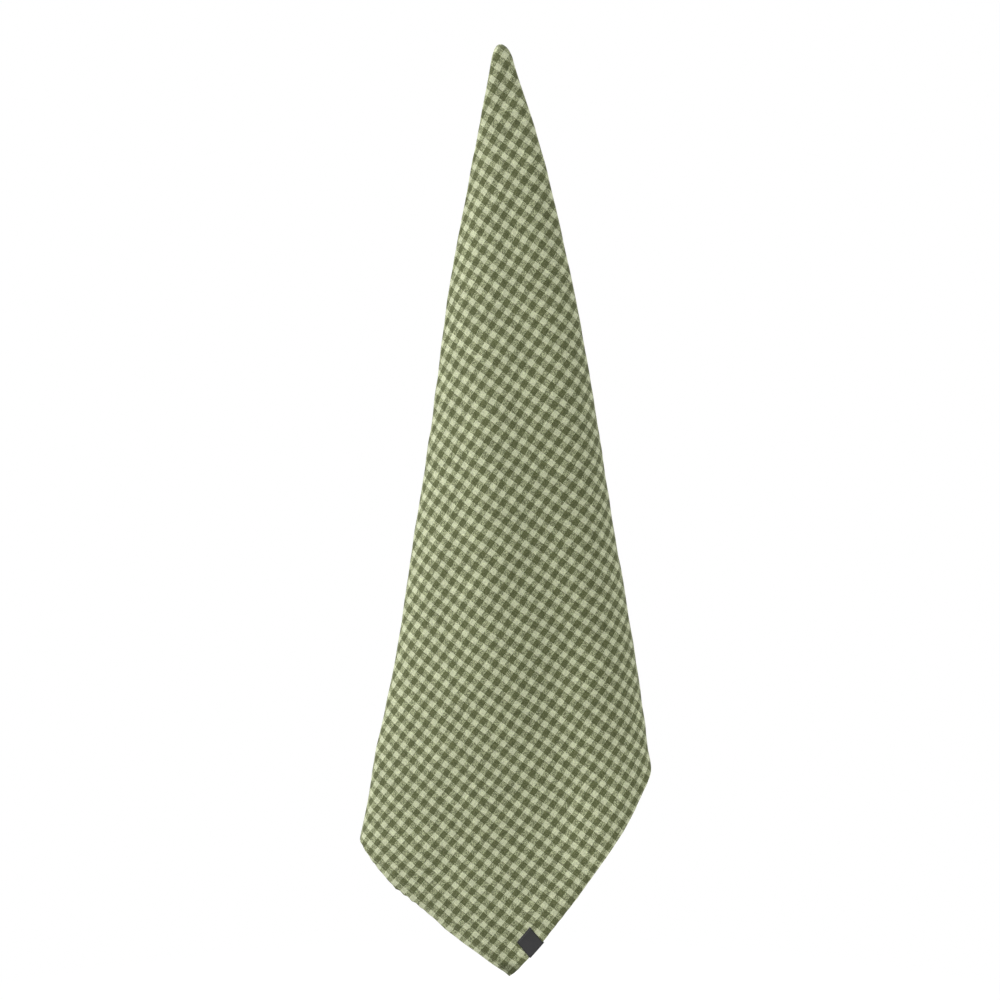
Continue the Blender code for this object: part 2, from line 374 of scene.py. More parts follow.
BEHIND_SHARE, BEHIND_DOWN = (1.06, 0.25), (140.0, 160.0)
MOTTLE, MOTTLE_WAVES, MOTTLE_DOWN = 0.16, 60, (20.0, 60.0)


def mottle(short, long):
    """The slight unevenness of a washed, loosely woven cloth, in mm."""
    dice = np.random.default_rng(11)
    height = np.zeros_like(short)
    for _ in range(MOTTLE_WAVES):
        length = dice.uniform(12.0, 60.0)
        bearing = dice.uniform(0.0, np.pi)
        phase = dice.uniform(0.0, 2.0 * np.pi)
        along = (short * np.cos(bearing) + long * np.sin(bearing)) * 2.0 * np.pi / length
        height = height + np.sin(along + phase) * (length / 30.0)
    return height * MOTTLE * np.sqrt(2.0 / MOTTLE_WAVES)


def crease_height(short, long, share):
    """Height of the soft creases over the plain drape, in mm."""
    down = short * ALONG_SHORT + long * ALONG_LONG
    across = short * ALONG_LONG - long * ALONG_SHORT
    height = np.zeros_like(down)
    for at_down, at_across, slant, length, width, high in SOFT_CREASES:
        on = down - at_down
        off = across - at_across - slant * on
        height = height + high * np.exp(-0.5 * ((off / width) ** 2 + (on / length) ** 2))
    height = height * smooth((1.0 - share) / CREASES_END) * grow(down, *CREASES_DOWN)
    behind = grow(share, *BEHIND_SHARE) * grow(down, *BEHIND_DOWN)
    for high, run_across, run_down, phase in WAVES_BEHIND:
        height = height + behind * high * np.sin(across / run_across + down / run_down + phase)
    return height + mottle(short, long) * grow(down, *MOTTLE_DOWN)


print("soft creases:", len(SOFT_CREASES))

# %% [markdown]
# ## The sheet
# A grid is the natural start for cloth. Its columns run down from the hanging corner, close
# together where the cloth turns, and its rows run round that corner. A real hem is never
# quite straight: each check pulls the edge in or lets it out a little, so the last rows are
# moved by a fraction of a millimetre, and over longer runs by a few.

# %% The line of the far hems
FOOT_DRAW = (
    # place along the foot hem, spread, how far the hem is let out
    (302.0, 23.0, -6.5),
    (358.0, 16.0, 2.2),
    (384.0, 22.0, 0.6),
    (423.0, 13.0, 1.3),
    (462.0, 11.0, -1.0),
    (500.0, 32.0, -3.6),
)
SIDE_DRAW = (
    # place along the side hem, spread, how far the hem is let out
    (522.0, 40.0, 2.8),
    (626.0, 25.0, -0.9),
    (700.0, 7.0, -2.0),
)
WAVE_REACH, DRAW_REACH = 2.5, 14.0  # how far into the cloth these moves die out
TEETH_LEAST, TEETH_MORE = 0.20, 0.50


def on_side_hem(short, long):
    return np.abs(SHORT_SIDE - short) < np.abs(LONG_SIDE - long)


def hem_wave(short, long):
    """How far the edge stands out at a place on the far hems, in mm."""
    side_wave = 0.22 * np.sin(long / LONG_CHECK * 2.0 * np.pi + 0.7)
    side_wave = side_wave + 0.12 * np.sin(long / 4.1)
    teeth = TEETH_LEAST + TEETH_MORE * smooth((430.0 - short) / 60.0)
    foot_wave = teeth * np.sin(short / SHORT_CHECK * 2.0 * np.pi) + 0.12 * np.sin(short / 3.3)
    return np.where(on_side_hem(short, long), side_wave, foot_wave)


def hem_draw(short, long):
    """How far the edge is let out (or drawn in, below 0) over a longer run, in mm."""
    foot = sum(move * np.exp(-(((short - at) / spread) ** 2)) for at, spread, move in FOOT_DRAW)
    side = sum(move * np.exp(-(((long - at) / spread) ** 2)) for at, spread, move in SIDE_DRAW)
    return np.where(on_side_hem(short, long), side, foot)


print("the hems are drawn in or let out at", len(FOOT_DRAW) + len(SIDE_DRAW), "places")

# %% Columns and rows
STRETCHES = {
    # side: (share at the end of the stretch, columns)
    "left": ((0.72, 32), (1.0, 20), (1.38, 9), (1.62, 17), (2.0, 15)),
    "right": ((0.72, 33), (1.0, 20), (1.20, 8), (1.33, 14), (1.46, 5), (1.60, 14), (2.0, 14)),
}
ROWS = 232
ROW_CROWDING = 1.7  # rows lie closer together towards the hanging corner
FRONT_LIFT = 0.9


def shares(side):
    out = [0.0]
    for end, count in STRETCHES[side]:
        out.extend(np.linspace(out[-1], end, count + 1)[1:])
    return np.array(out)


def sheet_points():
    """Rows of points of the cloth's front, their flat places, and the crease height."""
    even = np.linspace(0.0, 1.0, ROWS + 1)[:, None]
    rows = even**2 * (ROW_CROWDING - (ROW_CROWDING - 1.0) * even)
    halves = []
    for side in ("left", "right"):
        columns = shares(side)
        near = corner_distance(side, columns)
        far = hem_distance(side, columns)
        r = near + rows * (far - near)
        share = np.broadcast_to(columns, r.shape).copy()
        _, short, long = hang(side, share[-1:], r[-1:], steps=2)
        r = r + hem_wave(short, long) * np.exp((r - far) / WAVE_REACH)
        r = r + hem_draw(short, long) * np.exp((r - far) / DRAW_REACH)
        points, short, long = hang(side, share, r)
        halves.append((points, short, long, crease_height(short, long, share)))
    return [
        np.concatenate([left[:, :0:-1], right], axis=1)
        for left, right in zip(halves[0], halves[1])
    ]


middle, flat_short, flat_long, relief = sheet_points()
along_row = np.gradient(middle, axis=1)
down_column = np.gradient(middle, axis=0)
outward = np.cross(along_row, down_column)
outward = outward / np.linalg.norm(outward, axis=2)[..., None]
if outward[ROWS // 2, len(shares("left"))][1] > 0.0:
    outward = -outward
front = middle + outward * (FRONT_LIFT + relief)[..., None]
print("sheet of", front.shape[0], "rows and", front.shape[1], "columns")

# %% [markdown]
# The grid becomes cloth when it gets a thickness. The front stays where it is and the back
# is moved in, by more along the edges, where the hem is turned over. The place of each
# point on the flat towel is kept as its UV map, in metres, for the weave to read.

# %% A grid laid on points, and its thickness
GROUP_STEPS = 40.0  # the thickness is weighted in steps of this share
SHARP_ANGLE = 55.0
collection = bpy.data.collections.new("tea_towel_looks")
bpy.context.scene.collection.children.link(collection)


def set_grid(name, points, u, v):
    """A bmesh grid with its vertices laid on rows of points (mm) and a UV map (metres)."""
    rows, columns = points.shape[:2]
    bm = bmesh.new()
    bmesh.ops.create_grid(bm, x_segments=columns - 1, y_segments=rows - 1, size=1.0)
    mesh = bpy.data.meshes.new(name)
    bm.to_mesh(mesh)
    bm.free()
    co = np.zeros(len(mesh.vertices) * 3)
    mesh.vertices.foreach_get("co", co)
    co = co.reshape(-1, 3)
    column = np.rint((co[:, 0] + 1.0) / 2.0 * (columns - 1)).astype(int)
    row = np.rint((1.0 - co[:, 1]) / 2.0 * (rows - 1)).astype(int)
    mesh.vertices.foreach_set("co", (points[row, column] * MM).ravel())
    corner = np.zeros(len(mesh.loops), dtype=np.int32)
    mesh.loops.foreach_get("vertex_index", corner)
    uv = np.stack([u[row, column][corner], v[row, column][corner]], axis=1) * MM
    mesh.uv_layers.new(name="thread").data.foreach_set("uv", uv.ravel())
    mesh.update()
    thing = bpy.data.objects.new(name, mesh)
    collection.objects.link(thing)
    return thing, row, column


def thicken(thing, thickness, weights=None):
    """Give a sheet its thickness on the back side, then keep the result as its mesh."""
    shell = thing.modifiers.new("thickness", "SOLIDIFY")
    shell.thickness = thickness * MM
    shell.offset = -1.0
    if weights is not None:
        group = thing.vertex_groups.new(name="hem")
        steps = np.rint(weights * GROUP_STEPS).astype(int)
        for step in np.unique(steps):
            group.add(np.flatnonzero(steps == step).tolist(), step / GROUP_STEPS, "REPLACE")
        shell.vertex_group = "hem"
    ready = thing.evaluated_get(bpy.context.evaluated_depsgraph_get())
    thing.data = bpy.data.meshes.new_from_object(ready)
    thing.modifiers.clear()
    thing.data.shade_smooth()
    thing.data.set_sharp_from_angle(angle=np.radians(SHARP_ANGLE))


print("collection:", collection.name)

# %% How the threads were drawn off square
DRAWN = (
    # power of down, power of across, move of the warp and of the weft in mm
    (0, 0, -0.46, 0.32),
    (0, 1, 1.03, 1.18),
    (0, 2, -0.26, 0.29),
    (0, 3, -1.21, -0.53),
    (1, 0, -0.91, -1.67),
    (1, 1, 1.45, -0.15),
    (1, 2, 2.25, -0.82),
    (2, 0, -0.31, 0.55),
    (2, 1, -2.00, -1.48),
    (3, 0, 0.27, 2.18),
)
DRAWN_MIDDLE, DRAWN_DOWN, DRAWN_ACROSS, DRAWN_MOST = 450.0, 400.0, 100.0, 1.3


def drawn_weave(short, long):
    """Thread places, a little off square, as a much washed towel has them."""
    down = (short * ALONG_SHORT + long * ALONG_LONG - DRAWN_MIDDLE) / DRAWN_DOWN
    across = (short * ALONG_LONG - long * ALONG_SHORT) / DRAWN_ACROSS
    across = np.clip(across, -DRAWN_MOST, DRAWN_MOST)
    move_short = np.zeros_like(down)
    move_long = np.zeros_like(down)
    for down_power, across_power, short_move, long_move in DRAWN:
        part = down**down_power * across**across_power
        move_short = move_short + short_move * part
        move_long = move_long + long_move * part
    return short + move_short, long + move_long


thread_short, thread_long = drawn_weave(flat_short, flat_long)
print("threads move by up to", round(float(np.abs(thread_short - flat_short).max()), 1), "mm")

# %% [markdown]
# The cloth also carries the distance of each point from the nearest hems, front and back,
# because the turned hem and its stitches show on the back.

# %% Make the cloth
HEM_WIDE = 7.5
HEM_STEP = 1.6  # the hem's extra thickness comes in over this width
CLOTH_THICK, HEM_THICK, TOP_THICK = 0.85, 1.5, 0.35
TOP_THIN = (25.0, 60.0)  # gathered cloth is thin up to here, and thickens over this length
BACK_MARK = 1000.0

cloth, row, column = set_grid("towel_cloth", front, thread_short, thread_long)
to_edge = np.minimum(
    np.minimum(flat_short, SHORT_SIDE - flat_short),
    np.minimum(flat_long, LONG_SIDE - flat_long),
)
thick = CLOTH_THICK + (HEM_THICK - CLOTH_THICK) * smooth((HEM_WIDE - to_edge) / HEM_STEP)
thick = TOP_THICK + (thick - TOP_THICK) * grow(np.hypot(flat_short, flat_long), *TOP_THIN)
thicken(cloth, HEM_THICK, thick[row, column] / HEM_THICK)
past_short = np.where(flat_short > SHORT_SIDE / 2.0, SHORT_SIDE - flat_short, -flat_short)
past_long = np.where(flat_long > LONG_SIDE / 2.0, LONG_SIDE - flat_long, -flat_long)
front_side = np.stack([past_short, past_long, np.zeros_like(past_short)], axis=-1)[row, column]
both_sides = np.concatenate([front_side, front_side + [0.0, 0.0, BACK_MARK]]) * MM
from_hem = cloth.data.attributes.new("from_hem", "FLOAT_VECTOR", "POINT")
from_hem.data.foreach_set("vector", both_sides.ravel())
print("cloth:", len(cloth.data.vertices), "points and", len(cloth.data.polygons), "faces")

# %% [markdown]
# ## Building materials with nodes
# A material is a small network. These helpers add one node at a time, so that each line
# below reads like the sum that it stands for.


# %% Node helpers
class Net:
    """Adds nodes to a tree and joins them up."""

    def __init__(self, tree):
        self.tree = tree

    def node(self, kind, settings=None, **inputs):
        made = self.tree.nodes.new(kind)
        for name, value in (settings or {}).items():
            setattr(made, name, value)
        for name, value in inputs.items():
            self.put(made.inputs[name.replace("_", " ")], value)
        return made

    def put(self, socket, value):
        if isinstance(value, bpy.types.NodeSocket):
            self.tree.links.new(value, socket)
        else:
            socket.default_value = value

    def fill(self, made, *values):
        """Put values into a node's sockets in order."""
        for socket, value in zip(made.inputs, values):
            self.put(socket, value)
        return made

    def sum(self, kind, *values):
        made = self.node("ShaderNodeMath", {"operation": kind})
        return self.fill(made, *values).outputs[0]

    def vector_sum(self, kind, *values):
        made = self.fill(self.node("ShaderNodeVectorMath", {"operation": kind}), *values)
        return made.outputs["Value" if kind == "LENGTH" else "Vector"]

    def ramp(self, value, low, high, to_low=0.0, to_high=1.0):
        made = self.node("ShaderNodeMapRange", {"interpolation_type": "SMOOTHSTEP"})
        return self.fill(made, value, low, high, to_low, to_high).outputs[0]

    def blend(self, share, one, other):
        """The number one where share is 0, and the other where it is 1."""
        made = self.node("ShaderNodeMix")
        self.put(made.inputs[0], share)
        self.put(made.inputs[2], one)
        self.put(made.inputs[3], other)
        return made.outputs[0]

    def blend_colour(self, share, one, other, way="MIX"):
        made = self.node("ShaderNodeMix", {"data_type": "RGBA", "blend_type": way})
        self.put(made.inputs[0], share)
        self.put(made.inputs[6], one)
        self.put(made.inputs[7], other)
        return made.outputs[2]

    def shade(self, colour, tone):
        """A colour made lighter or darker by a number."""
        return self.blend_colour(1.0, colour, self.vector(tone, tone, tone), "MULTIPLY")

    def vector(self, x, y, z=0.0):
        return self.fill(self.node("ShaderNodeCombineXYZ"), x, y, z).outputs[0]

    def parts(self, vector):
        return self.node("ShaderNodeSeparateXYZ", Vector=vector).outputs

    def noise(self, place, scale, detail=1.0):
        made = self.node("ShaderNodeTexNoise", Vector=place, Scale=scale, Detail=detail)
        return made.outputs["Fac"]

    def streaks(self, x, y, x_scale, y_scale, layer=0.0, detail=1.0):
        """Slow noise along threads. Each layer has a pattern of its own."""
        x, y = self.sum("MULTIPLY", x, x_scale), self.sum("MULTIPLY", y, y_scale)
        return self.noise(self.vector(x, y, layer), 1.0, detail)

    def random(self, value):
        made = self.node("ShaderNodeTexWhiteNoise", {"noise_dimensions": "1D"}, W=value)
        return made.outputs["Value"]

    def group(self, tree, **inputs):
        return self.node("ShaderNodeGroup", {"node_tree": tree}, **inputs).outputs


def group_of(name, inputs, outputs):
    """A new node group with number sockets, its net, and its two ends."""
    tree = bpy.data.node_groups.new(name, "ShaderNodeTree")
    number = {"socket_type": "NodeSocketFloat"}
    for socket_name, value in inputs:
        socket = tree.interface.new_socket(socket_name, in_out="INPUT", **number)
        socket.default_value = value
    for socket_name in outputs:
        tree.interface.new_socket(socket_name, in_out="OUTPUT", **number)
    first = tree.nodes.new("NodeGroupInput")
    last = tree.nodes.new("NodeGroupOutput")
    return tree, Net(tree), first.outputs, last.inputs


def new_material(name):
    material = bpy.data.materials.new(name)
    material.use_nodes = True
    return material, Net(material.node_tree), material.node_tree.nodes["Principled BSDF"]


def set_surface(net, shader, colour, height, depth, **values):
    """Join a colour and a relief to a shader, and set its plain numbers and colours."""
    net.put(shader.inputs["Base Color"], colour)
    bump = net.node("ShaderNodeBump", Height=height, Distance=depth, Strength=0.7)
    net.put(shader.inputs["Normal"], bump.outputs[0])
    for name, value in values.items():
        shader.inputs[name.replace("_", " ")].default_value = value


print("helpers ready")

# %% [markdown]
# ## The weave
# In a plain weave each thread goes over one crossing thread and under the next. Counting the
# threads both ways gives two whole numbers, and whether their sum is odd or even says which
# of the two threads is on top. The thread on top is a rounded float with a small gap round
# it. Real yarn wanders, swells and thins, so the counts are nudged by a slow noise first.
# The towel and the label both use this group, with their own thread counts.

# %% Plain weave group: which thread is on top
weave, net, given, out = group_of(
    "plain_weave",
    [("Warp Count", 0.0), ("Weft Count", 0.0), ("Wander", 0.2), ("Ragged", 0.3), ("Fill", 0.8)],
    ["Warp Up", "Warp Thread", "Weft Thread", "Cover", "Height", "Slub"],
)
warp, weft = given["Warp Count"], given["Weft Count"]
drift = net.streaks(warp, weft, 0.22, 0.035)
warp = net.sum("MULTIPLY_ADD", net.sum("SUBTRACT", drift, 0.5), given["Wander"], warp)
drift = net.streaks(warp, weft, 0.035, 0.22, 7.0)
weft = net.sum("MULTIPLY_ADD", net.sum("SUBTRACT", drift, 0.5), given["Wander"], weft)
warp_thread, weft_thread = net.sum("FLOOR", warp), net.sum("FLOOR", weft)
warp_off = net.sum("SUBTRACT", net.sum("SUBTRACT", warp, warp_thread), 0.5)
weft_off = net.sum("SUBTRACT", net.sum("SUBTRACT", weft, weft_thread), 0.5)
warp_up = net.sum("FLOORED_MODULO", net.sum("ADD", warp_thread, weft_thread), 2.0)
print("weave group so far:", len(weave.nodes), "nodes")

# %% Plain weave group: the shape of the thread on top
across = net.sum("ABSOLUTE", net.blend(warp_up, weft_off, warp_off))
along = net.sum("ABSOLUTE", net.blend(warp_up, warp_off, weft_off))
round_over = net.sum("MULTIPLY", net.sum("MULTIPLY", across, across), 4.0)
dip = net.sum("MULTIPLY", net.sum("MULTIPLY", along, along), 4.0)
slub_warp = net.streaks(warp_thread, weft, 3.7, 0.11)
slub_weft = net.streaks(weft_thread, warp, 5.3, 0.11, 3.0)
slub = net.blend(warp_up, slub_weft, slub_warp)
fuzz = net.streaks(warp, weft, 0.62, 0.62, 11.0, 2.0)
reach = net.sum("MULTIPLY_ADD", dip, 0.45, round_over)
reach = net.sum("MULTIPLY_ADD", net.sum("SUBTRACT", fuzz, 0.5), given["Ragged"], reach)
reach = net.sum("MULTIPLY_ADD", net.sum("SUBTRACT", 0.5, slub), 0.5, reach)
cover = net.ramp(
    reach, net.sum("ADD", given["Fill"], 0.14), net.sum("SUBTRACT", given["Fill"], 0.14)
)
height = net.sum("SUBTRACT", 1.0, net.sum("MULTIPLY", round_over, 0.55))
height = net.sum("SUBTRACT", height, net.sum("MULTIPLY", dip, 0.35))
for name, value in (
    ("Warp Up", warp_up),
    ("Warp Thread", warp_thread),
    ("Weft Thread", weft_thread),
    ("Cover", cover),
    ("Height", height),
    ("Slub", slub),
):
    net.put(out[name], value)
print("weave group:", len(weave.nodes), "nodes")

# %% [markdown]
# A row of stitches is drawn the same way wherever cloth is sewn: a thin line, broken where
# the thread dives through. The group is given the distance from the line and the place
# along it, both in metres.

# %% Stitch group
stitching, net, given, out = group_of(
    "stitches",
    [("Off Line", 0.0), ("Along", 0.0), ("Pitch", 0.0028), ("Half Width", 0.00022)],
    ["Stitch"],
)
place_in_stitch = net.sum("DIVIDE", given["Along"], given["Pitch"])
from_middle = net.sum("PINGPONG", place_in_stitch, 0.5)
lies_on_top = net.ramp(from_middle, 0.38, 0.32)
aside = net.sum("DIVIDE", net.sum("ABSOLUTE", given["Off Line"]), given["Half Width"])
net.put(out["Stitch"], net.sum("MULTIPLY", lies_on_top, net.ramp(aside, 1.25, 0.75)))
print("stitch group:", len(stitching.nodes), "nodes")

# %% [markdown]
# ## The checks
# Small checks come from dyed and undyed yarn, set up in equal bands both ways. Where two
# bands of one colour cross, the square is plain. Where they differ, the threads alternate
# and the eye sees a speckled tone between the two. The bands are counted in whole threads,
# from the two hems that meet at the bottom corner.

# %% Yarns and threads
WARP_THREADS = 16.0  # threads in one repeat
WEFT_THREADS = 18.0
WARP_PHASE = 27.85 - SHORT_SIDE / SHORT_CHECK  # where the count starts, in repeats
WEFT_PHASE = 35.08 - LONG_SIDE / LONG_CHECK
DARK_YARN = (0.128, 0.143, 0.060, 1.0)
LIGHT_YARN = (0.634, 0.669, 0.446, 1.0)
LIGHT_AMONG_DARK = (0.596, 0.642, 0.388, 1.0)
SEWING_THREAD = (0.52, 0.55, 0.36, 1.0)
STRAY, STRAY_SCALE = 0.0024, 42.0  # how far threads stray from straight, in metres

cotton, net, shader = new_material("checked_cotton")
uv = net.node("ShaderNodeUVMap", {"uv_map": "thread"}).outputs[0]
stray = net.node("ShaderNodeTexNoise", Vector=uv, Scale=STRAY_SCALE, Detail=1.5)
stray = net.vector_sum("SUBTRACT", stray.outputs["Color"], (0.5, 0.5, 0.5))
moved = net.vector_sum("MULTIPLY_ADD", stray, (STRAY, STRAY, 0.0), uv)
print("checks of", SHORT_CHECK / 2.0, "by", LONG_CHECK / 2.0, "mm")

# %% [markdown]
# On the back the hem is the front's own cloth turned over, so within its width the pattern
# is read from beyond the edge, as in a mirror.

# %% The turned hem, and the thread counts
hems = net.parts(net.node("ShaderNodeAttribute", {"attribute_name": "from_hem"}).outputs["Vector"])
short_off = net.sum("ABSOLUTE", hems[0])
long_off = net.sum("ABSOLUTE", hems[1])
reverse = net.sum("GREATER_THAN", hems[2], 0.5)
in_short_hem = net.sum("MULTIPLY", net.sum("LESS_THAN", short_off, HEM_WIDE * MM), reverse)
in_long_hem = net.sum("MULTIPLY", net.sum("LESS_THAN", long_off, HEM_WIDE * MM), reverse)
turned = net.vector(
    net.sum("MULTIPLY", net.sum("MULTIPLY", hems[0], 2.0), in_short_hem),
    net.sum("MULTIPLY", net.sum("MULTIPLY", hems[1], 2.0), in_long_hem),
)
places = net.parts(net.vector_sum("ADD", moved, turned))
warp_rate = WARP_THREADS / (SHORT_CHECK * MM)
weft_rate = WEFT_THREADS / (LONG_CHECK * MM)
warp_count = net.sum("MULTIPLY_ADD", places[0], warp_rate, WARP_PHASE * WARP_THREADS)
weft_count = net.sum("MULTIPLY_ADD", places[1], weft_rate, WEFT_PHASE * WEFT_THREADS)
woven = net.group(
    weave, Warp_Count=warp_count, Weft_Count=weft_count, Wander=0.9, Ragged=1.25, Fill=0.74
)
print("threads to a centimetre:", round(warp_rate / 100.0, 1), "and", round(weft_rate / 100.0, 1))


# %% The colour at each crossing
def band(net, thread, threads):
    """1 where a thread belongs to a light band, and 0 where it is dyed."""
    place_in_repeat = net.sum("DIVIDE", net.sum("ADD", thread, 0.5), threads)
    from_light = net.sum("PINGPONG", place_in_repeat, 0.5)
    return net.sum("LESS_THAN", from_light, 0.25)


up, cover = woven["Warp Up"], woven["Cover"]
warp_light = band(net, woven["Warp Thread"], WARP_THREADS)
weft_light = band(net, woven["Weft Thread"], WEFT_THREADS)
top_light = net.blend(up, weft_light, warp_light)
both_light = net.sum("MULTIPLY", warp_light, weft_light)
# Round the thread on top the gap is dark unless both threads are light: partly the dark yarn
# below, partly painted shade.
light = net.blend(cover, both_light, top_light)
crossing = net.sum("MULTIPLY_ADD", woven["Warp Thread"], 57.31, woven["Weft Thread"])
speck = net.random(crossing)
unlike = net.sum("ABSOLUTE", net.sum("SUBTRACT", warp_light, weft_light))
chance = net.ramp(speck, 0.25, 0.85, 0.0, 0.9)
light = net.blend(net.sum("MULTIPLY", unlike, 0.45), light, chance)
fleck = net.noise(net.vector(warp_count, weft_count, 5.0), 0.45)
light = net.sum("MAXIMUM", light, net.ramp(fleck, 0.70, 0.80, 0.0, 0.30))
pale = net.blend_colour(both_light, LIGHT_AMONG_DARK, LIGHT_YARN)
colour = net.blend_colour(light, DARK_YARN, pale)
print("cloth material so far:", len(cotton.node_tree.nodes), "nodes")

# %% [markdown]
# No two threads take the dye alike. Each thread gets a tone, thick places are lighter, the gaps
# between threads get a painted shade, and a slow cloud goes over the whole towel.

# %% Uneven yarn
weft_tone = net.random(net.sum("ADD", woven["Weft Thread"], 900.5))
thread_tone = net.blend(up, weft_tone, net.random(woven["Warp Thread"]))
thread_tone = net.sum("MULTIPLY_ADD", thread_tone, 0.10, 0.95)
slub_tone = net.sum("MULTIPLY_ADD", woven["Slub"], 0.36, 0.82)
speck_depth = net.blend(light, 0.75, 0.42)
speck_tone = net.sum("MULTIPLY", net.sum("SUBTRACT", speck, 0.5), speck_depth)
slub_tone = net.sum("MULTIPLY", slub_tone, net.sum("ADD", speck_tone, 1.0))
# Painted shade: the gaps round each thread on top are darkened.
painted_gap_shade = net.ramp(cover, 0.0, 1.0, 0.84, 1.0)
cloud = net.noise(net.vector(places[0], places[1]), 38.0, 3.0)
cloud_tone = net.sum("MULTIPLY_ADD", cloud, 0.12, 0.94)
yarn_tone = net.sum("MULTIPLY", thread_tone, slub_tone)
gap_shade_and_cloud_tone = net.sum("MULTIPLY", painted_gap_shade, cloud_tone)
colour = net.shade(colour, net.sum("MULTIPLY", yarn_tone, gap_shade_and_cloud_tone))
print("cloth material so far:", len(cotton.node_tree.nodes), "nodes")

# %% [markdown]
# The hem is sewn down with a row of stitches, which shows clearly on the back and hardly on
# the front. The turned edge throws a thin painted shade. Near each corner the cloth gets a
# painted shade, a little darker than the rest.

# %% Hem, stitches and painted shade at the corners
STITCH_LINE = 6.2
FOLD_LINE = HEM_WIDE + 0.15
rows_of_stitches = []
for off, other, along in ((short_off, long_off, 1), (long_off, short_off, 0)):
    row_of = net.group(
        stitching,
        Off_Line=net.sum("SUBTRACT", off, STITCH_LINE * MM),
        Along=net.parts(uv)[along],
    )
    ends = net.sum("GREATER_THAN", other, STITCH_LINE * MM)
    rows_of_stitches.append(net.sum("MULTIPLY", row_of["Stitch"], ends))
stitch = net.sum("MAXIMUM", *rows_of_stitches)
from_fold = net.sum("SUBTRACT", net.sum("MINIMUM", short_off, long_off), FOLD_LINE * MM)
fold_shade = net.ramp(net.sum("ABSOLUTE", from_fold), 0.0, 0.0006, 0.62, 1.0)
fold_shade = net.blend(reverse, 1.0, fold_shade)
from_corner = net.vector_sum("LENGTH", net.vector(short_off, long_off))
# Painted shade: near each corner the cloth is darkened, which tones down the lit hanging corner.
painted_corner_shade = net.ramp(from_corner, 0.0115, 0.0200, 0.64, 1.0)
colour = net.shade(colour, net.sum("MULTIPLY", fold_shade, painted_corner_shade))
shows = net.sum("MULTIPLY", stitch, net.blend(reverse, 0.30, 0.85))
colour = net.blend_colour(shows, colour, SEWING_THREAD)
relief_of_stitch = net.blend(reverse, -1.2, 1.2)
set_surface(
    net,
    shader,
    colour,
    net.sum("MULTIPLY_ADD", stitch, relief_of_stitch, woven["Height"]),
    0.00012,
    Roughness=0.88,
    Specular_IOR_Level=0.25,
    Sheen_Weight=0.32,
    Sheen_Roughness=0.45,
    Sheen_Tint=(0.95, 1.0, 0.85, 1.0),
)
cloth.data.materials.clear()
cloth.data.materials.append(cotton)
print("cloth material:", len(cotton.node_tree.nodes), "nodes")

# %% [markdown]
# ## The label
# The label is a strip of dense dark tape, folded over the hem and caught in its stitches.
# It is one more grid, laid on a path that runs up the front, round the edge and up the back.

# %% Label
LABEL_FROM_TIP = 28.6
LABEL_WIDTH, LABEL_DEPTH, LABEL_SKEW = 18.6, 17.4, 4.3
LABEL_THICK = 0.45
LABEL_FRONT, LABEL_BACK = 1.50, 0.80  # how far its outside stands off the cloth


def label_points():
    """Outer face of the label in mm, with its own crosswise and lengthwise places."""
    half = (LABEL_FRONT + LABEL_BACK) / 2.0
    centre = (LABEL_FRONT - LABEL_BACK) / 2.0
    legs = np.linspace(LABEL_DEPTH, 0.0, 15)
    turns = np.radians(np.linspace(90.0, -90.0, 13))
    profile = [(-leg, LABEL_FRONT) for leg in legs[:-1]]
    profile += [(half * np.cos(turn), centre + half * np.sin(turn)) for turn in turns]
    profile += [(-leg, -LABEL_BACK) for leg in legs[-2::-1]]
    stations = LONG_SIDE - LABEL_FROM_TIP - np.linspace(0.0, LABEL_WIDTH, 17)
    rows = []
    for offset, lift in profile:
        short = np.full_like(stations, SHORT_SIDE + min(offset, 0.0))
        long = stations + LABEL_SKEW * min(offset, 0.0) / LABEL_DEPTH
        here, share = place(short, long)
        inward = here - place(short - 1.0, long)[0]
        onward = place(short, long + 0.5)[0] - place(short, long - 0.5)[0]
        out = inward / np.linalg.norm(inward, axis=1)[:, None]
        normal = np.cross(onward, inward)
        normal = normal / np.linalg.norm(normal, axis=1)[:, None]
        normal = normal * -np.sign(normal[:, 1:2])
        lifted = normal * (lift + crease_height(short, long, share))[:, None]
        rows.append(here + out * max(offset, 0.0) + lifted)
    rows = np.array(rows)
    run = np.linalg.norm(np.diff(rows, axis=0), axis=2)
    lengthwise = np.concatenate([np.zeros((1, rows.shape[1])), np.cumsum(run, axis=0)])
    crosswise = np.broadcast_to(np.linspace(0.0, LABEL_WIDTH, rows.shape[1]), lengthwise.shape)
    return rows, crosswise, lengthwise


label_rows, label_across, label_along = label_points()
label, _, _ = set_grid("label_tape", label_rows, label_across, label_along)
thicken(label, LABEL_THICK)
edges = label.modifiers.new("edges", "BEVEL")
edges.width = 0.08 * MM
edges.segments = 2
edges.limit_method = "ANGLE"
edges.angle_limit = np.radians(50.0)
print("label:", len(label.data.polygons), "faces")

# %% [markdown]
# The tape is woven much finer than the towel, with a rib across it, a firm border down each
# side and a row of stitches of its own colour near each end.

# %% Label material
LABEL_WARP, LABEL_WEFT = 0.30, 0.24  # from one thread to the next, in mm
RIB = 1.2
BORDER = (0.75, 0.95)
SEAM_FROM_END, SEAM_FROM_SIDE = 1.5, 1.2
LABEL_YARN = (0.050, 0.050, 0.051, 1.0)
LABEL_THREAD = (0.105, 0.105, 0.108, 1.0)

